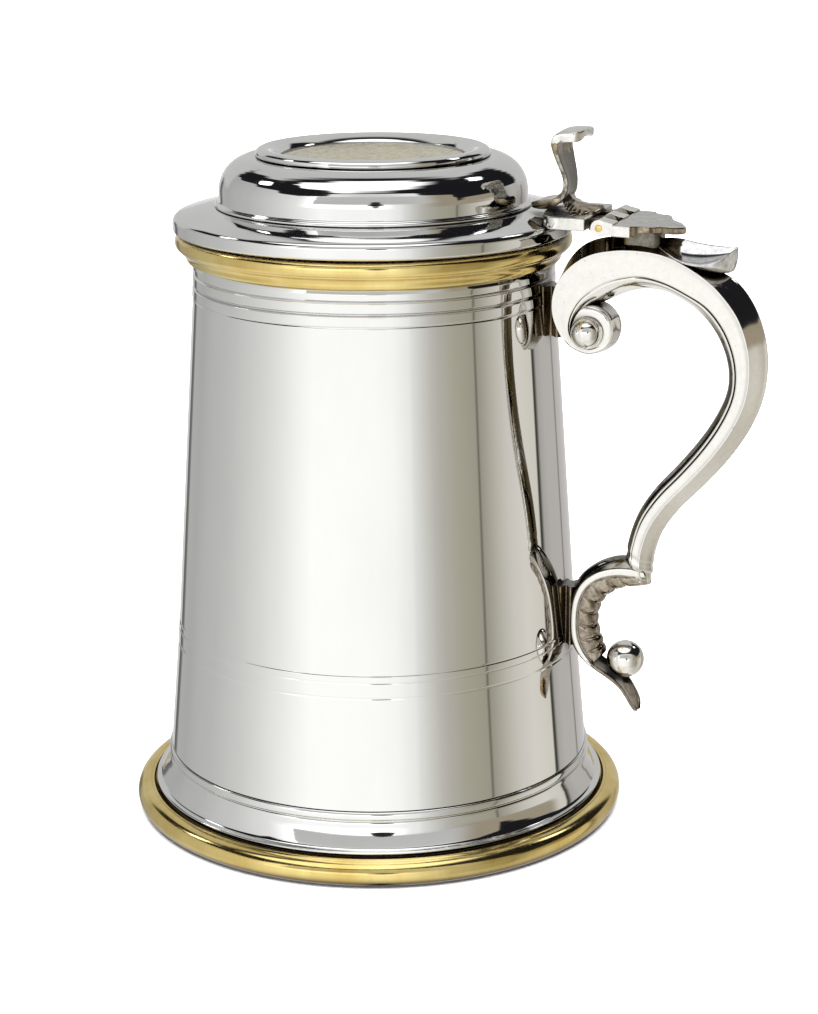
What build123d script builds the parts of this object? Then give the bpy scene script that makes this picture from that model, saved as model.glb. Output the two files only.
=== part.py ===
from build123d import *
import os
from math import hypot

# Lidded pewter tankard, millimetres. The drum axis is Z, the ground is z = 0 and the
# handle points along +X. The lid turns about a pin that lies along Y above the handle.

# ---------------------------------------------------------------- driving dimensions
FOOT_R = 53.3          # outer radius of the brass foot ring
RING_TUBE = 2.65       # rounding radius of the foot ring
DRUM_Z0 = 13.6         # lower edge of the drum wall
DRUM_Z1 = 124.6        # upper edge of the drum wall, under the lip of the brass rim
WALL = 1.5             # drum wall thickness
RIM_Z0 = 119.9         # lower edge of the brass rim
RIM_Z1 = 125.8         # top of the brass rim
FLANGE_Z0 = 126.05     # underside of the lid flange
FLANGE_TOP = 131.1     # top of the flange where the dome stands
FLANGE_R = 41.8        # outer radius of the lid flange
DOME_R = 32.2          # widest radius of the lid dome
MEDAL_R = 19.2         # radius of the medallion and of its seat
HINGE_X = 51.5         # hinge axis
HINGE_Z = 129.9
KNUCKLE_R = 1.73
PIN_R = 0.85
RUNNING = 0.05         # radial clearance of the turning knuckles on the pin
HINGE_HALF = 10.5      # half of the hinge width
VOLUTE_X = 47.9        # centre of the upper volute
VOLUTE_Z = 108.3
VOLUTE_R = 6.0
VOLUTE_HALF = 4.4
BOSS_X = 47.6          # centre of the half balls on the faces of the volute
BOSS_Z = 107.4
BOSS_R = 3.05
BALL_X = 55.9          # ball at the end of the lower scroll
BALL_Z = 37.2
BALL_R = 4.0

# Handle stations from the drum outwards: outer ridge (x, z), inner edge (x, z), half width
SWEEP = [
    ((40.3, 108.9), (45.6, 107.9), 4.4),
    ((39.9, 113.0), (46.4, 110.6), 4.7),
    ((40.6, 118.0), (48.2, 112.2), 4.9),
    ((43.2, 122.6), (50.8, 113.6), 5.0),
    ((47.2, 125.7), (53.2, 114.8), 5.1),
    ((52.6, 127.0), (55.9, 115.9), 5.2),
    ((58.5, 127.3), (59.0, 116.5), 5.2),
    ((64.6, 124.8), (62.9, 116.2), 5.2),
    ((70.6, 122.0), (66.8, 114.6), 5.2),
    ((76.9, 119.3), (70.5, 112.0), 5.2),
    ((81.1, 114.2), (73.6, 108.2), 5.1),
    ((83.6, 107.7), (75.6, 103.8), 5.0),
    ((84.2, 100.9), (76.3, 99.6), 4.9),
    ((83.2, 94.4), (75.7, 95.5), 4.7),
    ((80.6, 88.2), (73.5, 90.6), 4.5),
    ((76.5, 81.9), (70.3, 85.6), 4.2),
    ((71.7, 76.2), (66.2, 80.4), 4.0),
    ((66.9, 71.0), (61.8, 75.3), 3.8),
    ((63.4, 65.9), (58.4, 70.0), 3.6),
    ((61.8, 60.8), (56.4, 64.4), 3.4),
    ((61.4, 57.0), (55.9, 59.8), 3.2),
    ((60.7, 54.4), (57.4, 55.6), 2.8),
]

# Lower scroll stations: side towards the drum, hollow side, half width
SCROLL = [
    ((58.2, 59.4), (60.2, 54.1), 2.6),
    ((54.0, 59.6), (56.2, 53.4), 3.3),
    ((49.6, 57.9), (53.0, 51.8), 3.6),
    ((46.1, 54.9), (51.0, 49.9), 3.7),
    ((44.3, 51.2), (50.1, 47.6), 3.7),
    ((43.7, 46.6), (49.8, 45.0), 3.7),
    ((43.9, 41.6), (50.3, 42.4), 3.7),
    ((45.5, 37.9), (51.3, 40.0), 3.6),
    ((48.3, 35.1), (52.3, 37.8), 3.5),
    ((51.6, 33.3), (53.8, 35.3), 3.5),
    ((54.4, 31.4), (57.0, 33.2), 3.5),
    ((56.2, 28.9), (58.9, 30.0), 3.3),
    ((57.4, 26.2), (59.1, 26.8), 2.2),
]


def station_plane(outer, inner):
    """Plane across a bar, its x axis from the inner edge to the outer ridge."""
    dx = outer[0] - inner[0]
    dz = outer[1] - inner[1]
    mid = ((outer[0] + inner[0]) / 2, 0, (outer[1] + inner[1]) / 2)
    return Plane(origin=mid, x_dir=(dx, 0, dz), z_dir=(-dz, 0, dx))


def half_depth(outer, inner):
    return hypot(outer[0] - inner[0], outer[1] - inner[1]) / 2


def ridged_section(h, w):
    """Corners of the main bar: blunt ridge outside, bead with side grooves inside."""
    side = [(h, 0.5), (0.44 * h, w), (-0.52 * h, 0.95 * w), (-0.64 * h, 0.74 * w), (-h, 0.36 * w)]
    return side + [(u, -v) for u, v in reversed(side)]


def scroll_section(h, w):
    """Corners of the lower scroll: rounded towards the drum, flat on the hollow side."""
    side = [(h, 0.4 * w), (0.55 * h, w), (-0.35 * h, w), (-h, 0.62 * w)]
    return side + [(u, -v) for u, v in reversed(side)]


# ---------------------------------------------------------------- foot
with BuildPart() as foot_ring:
    with BuildSketch(Plane.XZ):
        with BuildLine():
            Polyline((50.65, 0), (47.4, 0), (47.4, 5.3), (50.65, 5.3))
            ThreePointArc((50.65, 5.3), (FOOT_R, RING_TUBE), (50.65, 0))
        make_face()
    revolve(axis=Axis.Z)

with BuildPart() as foot_skirt:
    with BuildSketch(Plane.XZ):
        with BuildLine():
            Polyline((45.75, 13.6), (46.1, 13.2), (46.1, 12.2), (45.9, 11.9), (46.05, 11.6))
            Spline((46.05, 11.6), (46.5, 9.5), (47.1, 8.0), (48.2, 6.3), tangents=((0.1, -1), (0.7, -1)))
            Polyline((48.2, 6.3), (48.9, 6.2), (49.1, 5.9), (49.0, 5.3), (47.9, 5.3), (45.2, 7.3), (43.6, 9.6))
            Polyline((43.6, 9.6), (43.6, 11.8), (45.0, 11.8), (45.0, 13.6), (45.75, 13.6))
        make_face()
    revolve(axis=Axis.Z)

with BuildPart() as base_plate:
    with BuildSketch(Plane.XY.offset(11.8)):
        Circle(45.0)
    extrude(amount=DRUM_Z0 - 11.8)

# ---------------------------------------------------------------- drum
with BuildPart() as drum:
    with BuildSketch(Plane.XZ):
        with BuildLine():
            # outside, upwards: flared foot, lower band with a fine line, taper, upper band
            Polyline((45.5, 13.6), (43.42, 37.2), (43.72, 37.5), (43.52, 40.3), (43.4, 40.5), (43.5, 40.7))
            Polyline((43.5, 40.7), (43.4, 41.9), (43.0, 42.2), (38.12, 112.2), (38.42, 112.5), (38.3, 114.6))
            Polyline((38.3, 114.6), (38.0, 114.9), (38.25, 115.2), (38.15, 117.2), (37.75, 117.6))
            Polyline((37.75, 117.6), (38.02, 118.8), (37.6, RIM_Z0), (37.3, DRUM_Z1), (37.3 - WALL, DRUM_Z1))
            Polyline((37.3 - WALL, DRUM_Z1), (42.0, 37.2), (43.9, 13.6), (45.5, 13.6))
        make_face()
    revolve(axis=Axis.Z)

with BuildPart() as rim_band:
    with BuildSketch(Plane.XZ):
        with BuildLine():
            Polyline((37.6, RIM_Z0), (38.6, RIM_Z0), (39.1, 120.1), (39.35, 120.6))
            ThreePointArc((39.35, 120.6), (39.7, 121.7), (40.75, 122.5))
            Line((40.75, 122.5), (40.85, 122.8))
            ThreePointArc((40.85, 122.8), (41.5, 124.2), (40.7, RIM_Z1))
            Polyline((40.7, RIM_Z1), (36.0, RIM_Z1), (35.8, 125.6), (35.8, DRUM_Z1), (37.3, DRUM_Z1))
            Line((37.3, DRUM_Z1), (37.6, RIM_Z0))
        make_face()
    revolve(axis=Axis.Z)

# ---------------------------------------------------------------- lid
with BuildPart() as lid_flange:
    with BuildSketch(Plane.XZ):
        with BuildLine():
            Polyline((30.6, FLANGE_Z0), (41.4, FLANGE_Z0), (FLANGE_R, 126.45), (FLANGE_R, 128.1))
            ThreePointArc((FLANGE_R, 128.1), (41.4, 129.05), (40.8, 129.4))
            Spline((40.8, 129.4), (37.4, 130.27), (33.2, FLANGE_TOP))
            Polyline((33.2, FLANGE_TOP), (30.6, FLANGE_TOP), (30.6, FLANGE_Z0))
        make_face()
    revolve(axis=Axis.Z)

with BuildPart() as lid_dome:
    with BuildSketch(Plane.XZ):
        with BuildLine():
            # foot bead, wall, shoulder, then the seat of the medallion
            Polyline((32.7, FLANGE_TOP), (33.0, 131.35), (33.0, 131.7), (DOME_R, 132.2), (DOME_R, 133.9))
            EllipticalCenterArc((25.5, 133.9), 6.7, 7.3, start_angle=0, arc_size=90)
            Polyline((25.5, 141.2), (MEDAL_R, 141.2), (MEDAL_R, 140.5), (17.0, 140.5), (17.0, 139.9), (25.0, 139.9))
            Spline((25.0, 139.9), (29.4, 137.9), (30.9, 133.9), tangents=((1, 0), (0, -1)))
            Polyline((30.9, 133.9), (30.8, FLANGE_TOP), (32.7, FLANGE_TOP))
        make_face()
    revolve(axis=Axis.Z)

with BuildPart() as locating_ring:
    with BuildSketch(Plane.XY.offset(122.6)):
        Circle(34.5)
        Circle(33.0, mode=Mode.SUBTRACT)
    extrude(amount=FLANGE_Z0 - 122.6)
    chamfer(locating_ring.edges().group_by(Axis.Z)[0], 0.5)

with BuildPart() as medallion:
    with BuildSketch(Plane.XY.offset(140.5)):
        Circle(MEDAL_R)
    extrude(amount=0.5)
    with BuildSketch(Plane.XY.offset(139.9)):
        Circle(17.0)
    extrude(amount=0.6)
    # low relief rosette of eight petals
    with PolarLocations(10.0, 8):
        with Locations((0, 0, 141.0)):
            Cylinder(3.0, 0.4, align=(Align.CENTER, Align.CENTER, Align.MIN))
    with Locations((0, 0, 141.0)):
        Cylinder(4.6, 0.4, align=(Align.CENTER, Align.CENTER, Align.MIN))

with BuildPart() as bezel_ring:
    with BuildSketch(Plane.XZ):
        with BuildLine():
            Polyline((MEDAL_R, 141.2), (24.2, 141.2), (24.45, 141.6))
            Spline((24.45, 141.6), (24.0, 142.6), (22.9, 143.0), tangents=((0, 1), (-1, 0)))
            ThreePointArc((22.9, 143.0), (20.9, 142.58), (MEDAL_R, 141.36))
            Line((MEDAL_R, 141.36), (MEDAL_R, 141.2))
        make_face()
    revolve(axis=Axis.Z)

# ---------------------------------------------------------------- handle
with BuildPart() as handle_sweep:
    for outer, inner, width in SWEEP:
        with BuildSketch(station_plane(outer, inner)):
            with BuildLine():
                Polyline(*ridged_section(half_depth(outer, inner), width), close=True)
            make_face()
    loft()
    with BuildSketch(Plane.XZ):
        with Locations((VOLUTE_X, VOLUTE_Z)):
            Circle(VOLUTE_R)
    extrude(amount=VOLUTE_HALF, both=True)

with BuildPart() as volute_boss_near:
    with Locations((BOSS_X, -VOLUTE_HALF, BOSS_Z)):
        Sphere(BOSS_R)
    with Locations((BOSS_X, 0, BOSS_Z)):
        Box(10, 2 * VOLUTE_HALF, 10, mode=Mode.SUBTRACT)

with BuildPart() as volute_boss_far:
    add(volute_boss_near.part.mirror(Plane.XZ))

with BuildPart() as lower_scroll:
    for outer, inner, width in SCROLL:
        with BuildSketch(station_plane(outer, inner)):
            with BuildLine():
                Polyline(*scroll_section(half_depth(outer, inner), width), close=True)
            make_face()
    loft()
    add(handle_sweep.part, mode=Mode.SUBTRACT)

with BuildPart() as scroll_ball:
    with Locations((BALL_X, 0, BALL_Z)):
        Sphere(BALL_R)
    add(lower_scroll.part, mode=Mode.SUBTRACT)

with BuildPart() as upper_pad:
    with BuildSketch(Plane.YZ.offset(36.0)):
        with Locations((0, 111.0)):
            RectangleRounded(7.4, 11.0, 2.4)
    extrude(amount=9.0)
    add(handle_sweep.part, mode=Mode.SUBTRACT)
    with BuildSketch(Plane.XY.offset(90)):
        Circle(39.0)
    extrude(amount=40, mode=Mode.SUBTRACT)

with BuildPart() as lower_pad:
    with BuildSketch(Plane.YZ.offset(41.0)):
        with Locations((0, 46.0)):
            RectangleRounded(6.0, 13.0, 2.0)
    extrude(amount=4.2)
    add(lower_scroll.part, mode=Mode.SUBTRACT)
    add(drum.part, mode=Mode.SUBTRACT)
    with BuildSketch(Plane.XY.offset(20)):
        Circle(42.5)
    extrude(amount=60, mode=Mode.SUBTRACT)

# pointed leaf that stands on the ridge: a raised spine with a hollow on either side
with BuildPart() as crest_leaf:
    with BuildSketch(Plane.XZ):
        with BuildLine():
            Spline((62.0, 125.0), (63.5, 126.9), (68.5, 126.5), (73.5, 125.9), (77.4, 126.0))
            Spline((77.4, 126.0), (76.6, 121.0), (73.0, 119.6), (67.5, 121.2), (62.0, 125.0))
        make_face()
    extrude(amount=6.0, both=True)
    with BuildSketch(Plane.XY.offset(115)):
        with BuildLine():
            Spline((61.2, 0), (66.0, 4.9), (73.0, 5.4), (78.0, 0))
            Spline((78.0, 0), (73.0, -5.4), (66.0, -4.9), (61.2, 0))
        make_face()
    extrude(amount=20, mode=Mode.INTERSECT)
    with Locations((70.5, -5.2, 127.6), (70.5, 5.2, 127.6)):
        Sphere(4.8, mode=Mode.SUBTRACT)
    add(handle_sweep.part, mode=Mode.SUBTRACT)

# ---------------------------------------------------------------- hinge
# barrels along the hinge axis, (first y, last y); each has a web back to its plate
FIXED_KNUCKLES = [(-10.5, -6.3), (-2.1, 2.1), (6.3, 10.5)]
TURNING_KNUCKLES = [(-6.15, -2.25), (2.25, 6.15)]
FIXED_REACH = 54.5
TURNING_REACH = 48.8

with BuildPart() as hinge_pin:
    with BuildSketch(Plane.XZ.offset(-HINGE_HALF)):
        with Locations((HINGE_X, HINGE_Z)):
            Circle(PIN_R)
    extrude(amount=2 * HINGE_HALF)

with BuildPart() as hinge_leaf:
    with BuildSketch(Plane.XY.offset(128.3)):
        with BuildLine():
            Polyline((54.0, -10.5), (58.2, -10.5))
            Spline((58.2, -10.5), (59.4, -8.2), (61.6, -7.2))
            Spline((61.6, -7.2), (62.2, -4.4), (65.6, 0))
            Spline((65.6, 0), (62.2, 4.4), (61.6, 7.2))
            Spline((61.6, 7.2), (59.4, 8.2), (58.2, 10.5))
            Polyline((58.2, 10.5), (54.0, 10.5), (54.0, -10.5))
        make_face()
    extrude(amount=2.3)
    for y0, y1 in FIXED_KNUCKLES:
        with BuildSketch(Plane.XZ.offset(-y1)):
            with Locations((HINGE_X, HINGE_Z)):
                Circle(KNUCKLE_R)
            with Locations(((HINGE_X + FIXED_REACH) / 2, HINGE_Z)):
                Rectangle(abs(FIXED_REACH - HINGE_X), 2 * KNUCKLE_R - 1.0)
        extrude(amount=y1 - y0)
    with Locations((HINGE_X, 0, HINGE_Z)):
        Cylinder(PIN_R, 30, rotation=(90, 0, 0), mode=Mode.SUBTRACT)

with BuildPart() as hinge_bracket:
    with BuildSketch(Plane.XY.offset(122.0)):
        with Locations((58.0, 0)):
            RectangleRounded(8.0, 7.0, 2.0)
    extrude(amount=6.3)
    add(handle_sweep.part, mode=Mode.SUBTRACT)

with BuildPart() as lid_lug:
    with BuildSketch(Plane.XY.offset(128.5)):
        with BuildLine():
            Polyline((49.2, -10.5), (40.4, -10.5))
            Spline((40.4, -10.5), (37.6, -6.0), (36.6, 0))
            Spline((36.6, 0), (37.6, 6.0), (40.4, 10.5))
            Polyline((40.4, 10.5), (49.2, 10.5), (49.2, -10.5))
        make_face()
    extrude(amount=3.25)
    for y0, y1 in TURNING_KNUCKLES:
        with BuildSketch(Plane.XZ.offset(-y1)):
            with Locations((HINGE_X, HINGE_Z)):
                Circle(KNUCKLE_R)
            with Locations(((HINGE_X + TURNING_REACH) / 2, HINGE_Z)):
                Rectangle(abs(TURNING_REACH - HINGE_X), 2 * KNUCKLE_R - 1.0)
        extrude(amount=y1 - y0)
    with Locations((HINGE_X, 0, HINGE_Z)):
        Cylinder(PIN_R + RUNNING, 30, rotation=(90, 0, 0), mode=Mode.SUBTRACT)
    add(lid_flange.part, mode=Mode.SUBTRACT)
    chamfer(lid_lug.faces().sort_by(Axis.Z)[-1].edges().filter_by(Axis.X), 0.5)

# S-shaped lever with a turned-out thumb plate and a leaf foot
with BuildPart() as thumbpiece:
    with BuildSketch(Plane.XZ):
        with BuildLine():
            Spline(
                (36.8, 131.75), (38.6, 132.9), (40.8, 134.3), (41.95, 137.2), (41.4, 140.4),
                (40.2, 144.2), (40.3, 146.8), (41.6, 148.1), (45.9, 148.4),
            )
            Line((45.9, 148.4), (45.9, 146.3))
            Spline(
                (45.9, 146.3), (42.4, 145.9), (41.6, 144.2), (42.5, 140.8), (43.3, 137.2),
                (44.0, 134.0), (47.2, 131.75),
            )
            Line((47.2, 131.75), (36.8, 131.75))
        make_face()
    extrude(amount=6.5, both=True)
    with BuildSketch(Plane.YZ.offset(30)):
        with BuildLine():
            Spline((-6.0, 131.0), (-4.2, 134.6), (-3.75, 137.5), (-5.0, 142.0), (-5.6, 146.0), (-5.5, 149.0))
            Line((-5.5, 149.0), (5.5, 149.0))
            Spline((5.5, 149.0), (5.6, 146.0), (5.0, 142.0), (3.75, 137.5), (4.2, 134.6), (6.0, 131.0))
            Line((6.0, 131.0), (-6.0, 131.0))
        make_face()
    extrude(amount=30, mode=Mode.INTERSECT)

# ---------------------------------------------------------------- export
PIECES = {
    "foot_ring": foot_ring,
    "foot_skirt": foot_skirt,
    "base_plate": base_plate,
    "drum": drum,
    "rim_band": rim_band,
    "upper_pad": upper_pad,
    "handle_sweep": handle_sweep,
    "volute_boss_near": volute_boss_near,
    "volute_boss_far": volute_boss_far,
    "lower_pad": lower_pad,
    "lower_scroll": lower_scroll,
    "scroll_ball": scroll_ball,
    "crest_leaf": crest_leaf,
    "hinge_bracket": hinge_bracket,
    "hinge_leaf": hinge_leaf,
    "hinge_pin": hinge_pin,
    "lid_flange": lid_flange,
    "lid_dome": lid_dome,
    "locating_ring": locating_ring,
    "bezel_ring": bezel_ring,
    "medallion": medallion,
    "lid_lug": lid_lug,
    "thumbpiece": thumbpiece,
}

os.makedirs("parts", exist_ok=True)
for name, piece in PIECES.items():
    piece.part.label = name
    export_step(piece.part, f"parts/{name}.step")
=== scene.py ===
import math

import bmesh
import bpy
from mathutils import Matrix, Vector, noise


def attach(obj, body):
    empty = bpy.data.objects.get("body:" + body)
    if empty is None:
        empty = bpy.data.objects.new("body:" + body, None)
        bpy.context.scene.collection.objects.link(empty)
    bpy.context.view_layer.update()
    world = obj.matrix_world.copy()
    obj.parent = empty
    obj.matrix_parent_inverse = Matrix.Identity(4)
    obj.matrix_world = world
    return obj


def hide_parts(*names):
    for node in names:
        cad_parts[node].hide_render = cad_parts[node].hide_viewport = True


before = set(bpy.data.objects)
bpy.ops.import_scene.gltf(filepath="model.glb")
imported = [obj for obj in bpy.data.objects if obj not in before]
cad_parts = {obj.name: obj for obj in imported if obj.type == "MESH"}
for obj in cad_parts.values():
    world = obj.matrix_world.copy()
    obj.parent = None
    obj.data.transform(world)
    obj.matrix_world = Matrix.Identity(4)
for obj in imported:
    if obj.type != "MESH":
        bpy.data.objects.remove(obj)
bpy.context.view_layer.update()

# ---------------------------------------------------------------- driving sizes, in millimetres
MM = 0.001
TURNS = 288  # facets round a turned piece
HINGE_X = 51.5
HINGE_Z = 129.9
KNUCKLE_R = 1.72
PIN_R = 0.84
SEAT_R = 19.2  # seat of the medallion in the dome
VOLUTE = (47.8, 107.9)
BOSS = (47.6, 107.4)
BOSS_R = 3.3
BALL = (55.9, 37.2)
BALL_R = 3.95
BAR_ROWS = 300  # rows of faces along the handle and along its lower scroll

# the camera: angles in degrees, distance and height in millimetres, lens for a 36 mm wide sensor
VIEW_AZIMUTH = 21.0
VIEW_DISTANCE = 501.4
VIEW_HEIGHT = 207.0
VIEW_PITCH = 15.79
VIEW_YAW = 0.80
VIEW_ROLL = -0.35
VIEW_LENS = 85.8
SENSOR_WIDTH = 36.0
CLIP_NEAR, CLIP_FAR = 0.01, 50.0  # metres

# outer ridge (x, z), inner edge (x, z), half width, and how far out on the section the crisp side edge lies
SWEEP = [
    ((53.2, 110.6), (49.8, 108.9), 3.4, 0.5),
    ((53.7, 107.6), (50.4, 107.2), 3.5, 0.5),
    ((52.2, 104.3), (49.6, 105.3), 3.7, 0.5),
    ((48.0, 102.4), (47.8, 104.6), 3.9, 0.5),
    ((43.7, 103.9), (45.8, 105.6), 4.1, 0.6),
    ((41.2, 107.5), (44.9, 107.4), 4.4, 0.8),
    ((40.0, 112.0), (45.9, 110.0), 4.7, 0.9),
    ((40.6, 117.4), (48.2, 112.4), 4.9, 0.85),
    ((43.4, 122.6), (50.8, 113.6), 5.0, 0.7),
    ((47.2, 125.6), (53.2, 114.8), 5.1, 0.62),
    ((52.6, 126.9), (55.9, 115.9), 5.2, 0.6),
    ((58.5, 127.2), (59.0, 116.5), 5.2, 0.57),
    ((64.6, 124.8), (62.9, 116.2), 5.2, 0.78),
    ((70.6, 122.0), (66.8, 114.6), 5.2, 0.76),
    ((76.9, 119.2), (70.5, 112.0), 5.1, 0.44),
    ((81.1, 114.1), (73.6, 108.2), 5.0, 0.38),
    ((83.5, 107.6), (75.6, 103.8), 4.9, 0.34),
    ((84.1, 100.9), (76.3, 99.6), 4.8, 0.3),
    ((83.1, 94.4), (75.7, 95.5), 4.6, 0.28),
    ((80.5, 88.2), (73.5, 90.6), 4.4, 0.26),
    ((76.4, 81.9), (70.3, 85.6), 4.2, 0.24),
    ((71.6, 76.2), (66.2, 80.4), 4.0, 0.22),
    ((66.8, 71.0), (61.8, 75.3), 3.8, 0.22),
    ((63.4, 65.9), (58.4, 70.0), 3.6, 0.22),
    ((61.8, 60.9), (56.4, 64.4), 3.4, 0.22),
    ((61.4, 57.0), (55.9, 59.8), 3.1, 0.22),
    ((60.8, 54.5), (57.4, 55.6), 2.6, 0.22),
]
# side towards the drum, hollow side and half width along the lower scroll and its tail leaf
SCROLL = [
    ((59.6, 58.6), (61.0, 54.2), 2.4),
    ((56.6, 59.8), (58.4, 53.6), 3.1),
    ((53.2, 59.5), (55.6, 53.2), 3.4),
    ((49.4, 57.8), (52.9, 51.8), 3.6),
    ((46.1, 54.9), (51.0, 49.9), 3.7),
    ((44.3, 51.2), (50.0, 47.6), 3.7),
    ((43.7, 46.6), (49.7, 45.0), 3.7),
    ((43.9, 41.6), (50.2, 42.4), 3.7),
    ((45.5, 37.9), (51.0, 40.2), 3.6),
    ((48.3, 35.1), (51.6, 38.2), 3.5),
]


def catmull(p, t):
    """Point on a Catmull-Rom curve through the rows of p, t from 0 to 1."""
    last = len(p) - 1
    s = min(max(t, 0.0), 1.0) * last
    i = min(int(s), last - 1)
    u = s - i
    a, b, c, d = p[max(i - 1, 0)], p[i], p[i + 1], p[min(i + 2, last)]
    return [
        0.5 * (2 * y + (z - x) * u + (2 * x - 5 * y + 4 * z - w) * u * u + (3 * y - x - 3 * z + w) * u**3)
        for x, y, z, w in zip(a, b, c, d)
    ]


def strip_point(table, s):
    """The values of a table of (x, z, ...) at s, with the unit direction of its curve there."""
    ahead = catmull(table, min(s + 0.01, 1.0))
    behind = catmull(table, max(s - 0.01, 0.0))
    dx, dz = ahead[0] - behind[0], ahead[1] - behind[1]
    length = math.hypot(dx, dz)
    return catmull(table, s), dx / length, dz / length


def mix(a, b, t):
    return a + (b - a) * t


def smoothstep(lo, hi, x):
    t = min(max((x - lo) / (hi - lo), 0.0), 1.0)
    return t * t * (3 - 2 * t)


# ---------------------------------------------------------------- mesh helpers
def make_piece(name, verts, faces, material, body, nodes=(), smooth=True, others=()):
    """A mesh piece from millimetre vertices that rides a body and stands for CAD nodes. others holds
    further materials, each with a test that picks its faces."""
    mesh = bpy.data.meshes.new(name)
    mesh.from_pydata([(x * MM, y * MM, z * MM) for x, y, z in verts], [], faces)
    work = bmesh.new()
    work.from_mesh(mesh)
    bmesh.ops.remove_doubles(work, verts=work.verts, dist=1e-7)
    bmesh.ops.recalc_face_normals(work, faces=work.faces)
    work.to_mesh(mesh)
    work.free()
    if smooth:
        mesh.shade_smooth()
    obj = bpy.data.objects.new(name, mesh)
    bpy.context.scene.collection.objects.link(obj)
    mesh.materials.append(material)
    for index, (other, picks) in enumerate(others, 1):
        mesh.materials.append(other)
        for polygon in mesh.polygons:
            if picks(polygon):
                polygon.material_index = index
    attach(obj, body)
    if nodes:
        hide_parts(*nodes)
    return obj


def soften_edges(obj, width, segments, angle):
    """Bevels the sharp edges of a flat-sided piece, width in millimetres and angle in degrees."""
    cut = obj.modifiers.new("edges", "BEVEL")
    cut.width = width * MM
    cut.segments = segments
    cut.limit_method = "ANGLE"
    cut.angle_limit = math.radians(angle)
    cut.harden_normals = True
    obj.data.shade_smooth()


def both_sides(half):
    """The whole outline of a plate from its half with positive y."""
    return [(x, -y) for x, y in half] + [(x, y) for x, y in reversed(half)]


def mirrored(half_section):
    """The whole section of a bar from its half with positive v."""
    return half_section + [(u, -v) for u, v in reversed(half_section) if v > 1e-6]


def tube_faces(rows, n):
    """Faces of a closed tube of rows + 1 rings with n corners each, with both end caps."""
    faces = [
        (k * n + i, k * n + (i + 1) % n, (k + 1) * n + (i + 1) % n, (k + 1) * n + i)
        for k in range(rows)
        for i in range(n)
    ]
    faces.append(tuple(range(n)))
    faces.append(tuple(rows * n + i for i in reversed(range(n))))
    return faces


def round_corners(points, radius, steps=4):
    """Closed outline with every corner eased by a short curve."""
    out = []
    n = len(points)
    for i, (x, z) in enumerate(points):
        px, pz = points[i - 1]
        qx, qz = points[(i + 1) % n]
        before = math.hypot(px - x, pz - z)
        after = math.hypot(qx - x, qz - z)
        a = min(radius, 0.45 * before) / before
        b = min(radius, 0.45 * after) / after
        ax, az = mix(x, px, a), mix(z, pz, a)
        bx, bz = mix(x, qx, b), mix(z, qz, b)
        for k in range(steps + 1):
            t = k / steps
            out.append(
                (
                    (1 - t) ** 2 * ax + 2 * t * (1 - t) * x + t * t * bx,
                    (1 - t) ** 2 * az + 2 * t * (1 - t) * z + t * t * bz,
                )
            )
    return out


def support(points, near=0.12, step=1.6):
    """Adds points close to the ends of long straight runs, so that smooth shading stays crisp there."""
    out = []
    n = len(points)
    for i, (x, z) in enumerate(points):
        qx, qz = points[(i + 1) % n]
        run = math.hypot(qx - x, qz - z)
        out.append((x, z))
        if run > 4 * near:
            count = max(1, int(run / step))
            cuts = [near / run] + [k / count for k in range(1, count)] + [1 - near / run]
            out += [(mix(x, qx, t), mix(z, qz, t)) for t in cuts]
    return out


def arc(x, z, radius_x, radius_z, degrees):
    """Points of an ellipse round (x, z) at the given angles from the x direction."""
    return [
        (x + radius_x * math.cos(math.radians(a)), z + radius_z * math.sin(math.radians(a))) for a in degrees
    ]


def turned(name, outline, material, body, nodes, radius=0.15, turns=TURNS, others=()):
    """A ring turned round the drum axis from a closed outline of (radius, height)."""
    ring = support(round_corners(outline, radius))
    n = len(ring)
    verts = []
    for k in range(turns):
        a = math.tau * k / turns
        verts += [(r * math.cos(a), r * math.sin(a), z) for r, z in ring]
    faces = [
        (k * n + i, (k + 1) % turns * n + i, (k + 1) % turns * n + (i + 1) % n, k * n + (i + 1) % n)
        for k in range(turns)
        for i in range(n)
    ]
    return make_piece(name, verts, faces, material, body, nodes, others=others)


def turned_about_y(name, centre, outline, material, body, nodes=(), turns=96):
    """A solid turned round an axis along Y through centre; the outline runs (radius, y) from axis to axis."""
    verts = []
    n = len(outline)
    for k in range(turns):
        a = math.tau * k / turns
        verts += [(centre[0] + r * math.cos(a), y, centre[1] + r * math.sin(a)) for r, y in outline]
    faces = [
        (k * n + i, (k + 1) % turns * n + i, (k + 1) % turns * n + i + 1, k * n + i + 1)
        for k in range(turns)
        for i in range(n - 1)
    ]
    return make_piece(name, verts, faces, material, body, nodes)


def bar(name, stations, half_section, rows, material, body, nodes=(), shape=None, others=()):
    """A bar through stations. half_section lists (u, v) from the outer ridge to the inner edge, both 1 at
    most. shape(t, u, v) may return changed u and v at a fraction t of the bar."""
    flat = [(o[0], o[1], i[0], i[1], w) for o, i, w in stations]
    full = mirrored(half_section)
    verts = []
    for k in range(rows + 1):
        t = k / rows
        ox, oz, ix, iz, w = catmull(flat, t)
        mx, mz = (ox + ix) / 2, (oz + iz) / 2
        hx, hz = (ox - ix) / 2, (oz - iz) / 2
        for u, v in full:
            if shape:
                u, v = shape(t, u, v)
            verts.append((mx + hx * u, v * w, mz + hz * u))
    return make_piece(name, verts, tube_faces(rows, len(full)), material, body, nodes, others=others)


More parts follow.
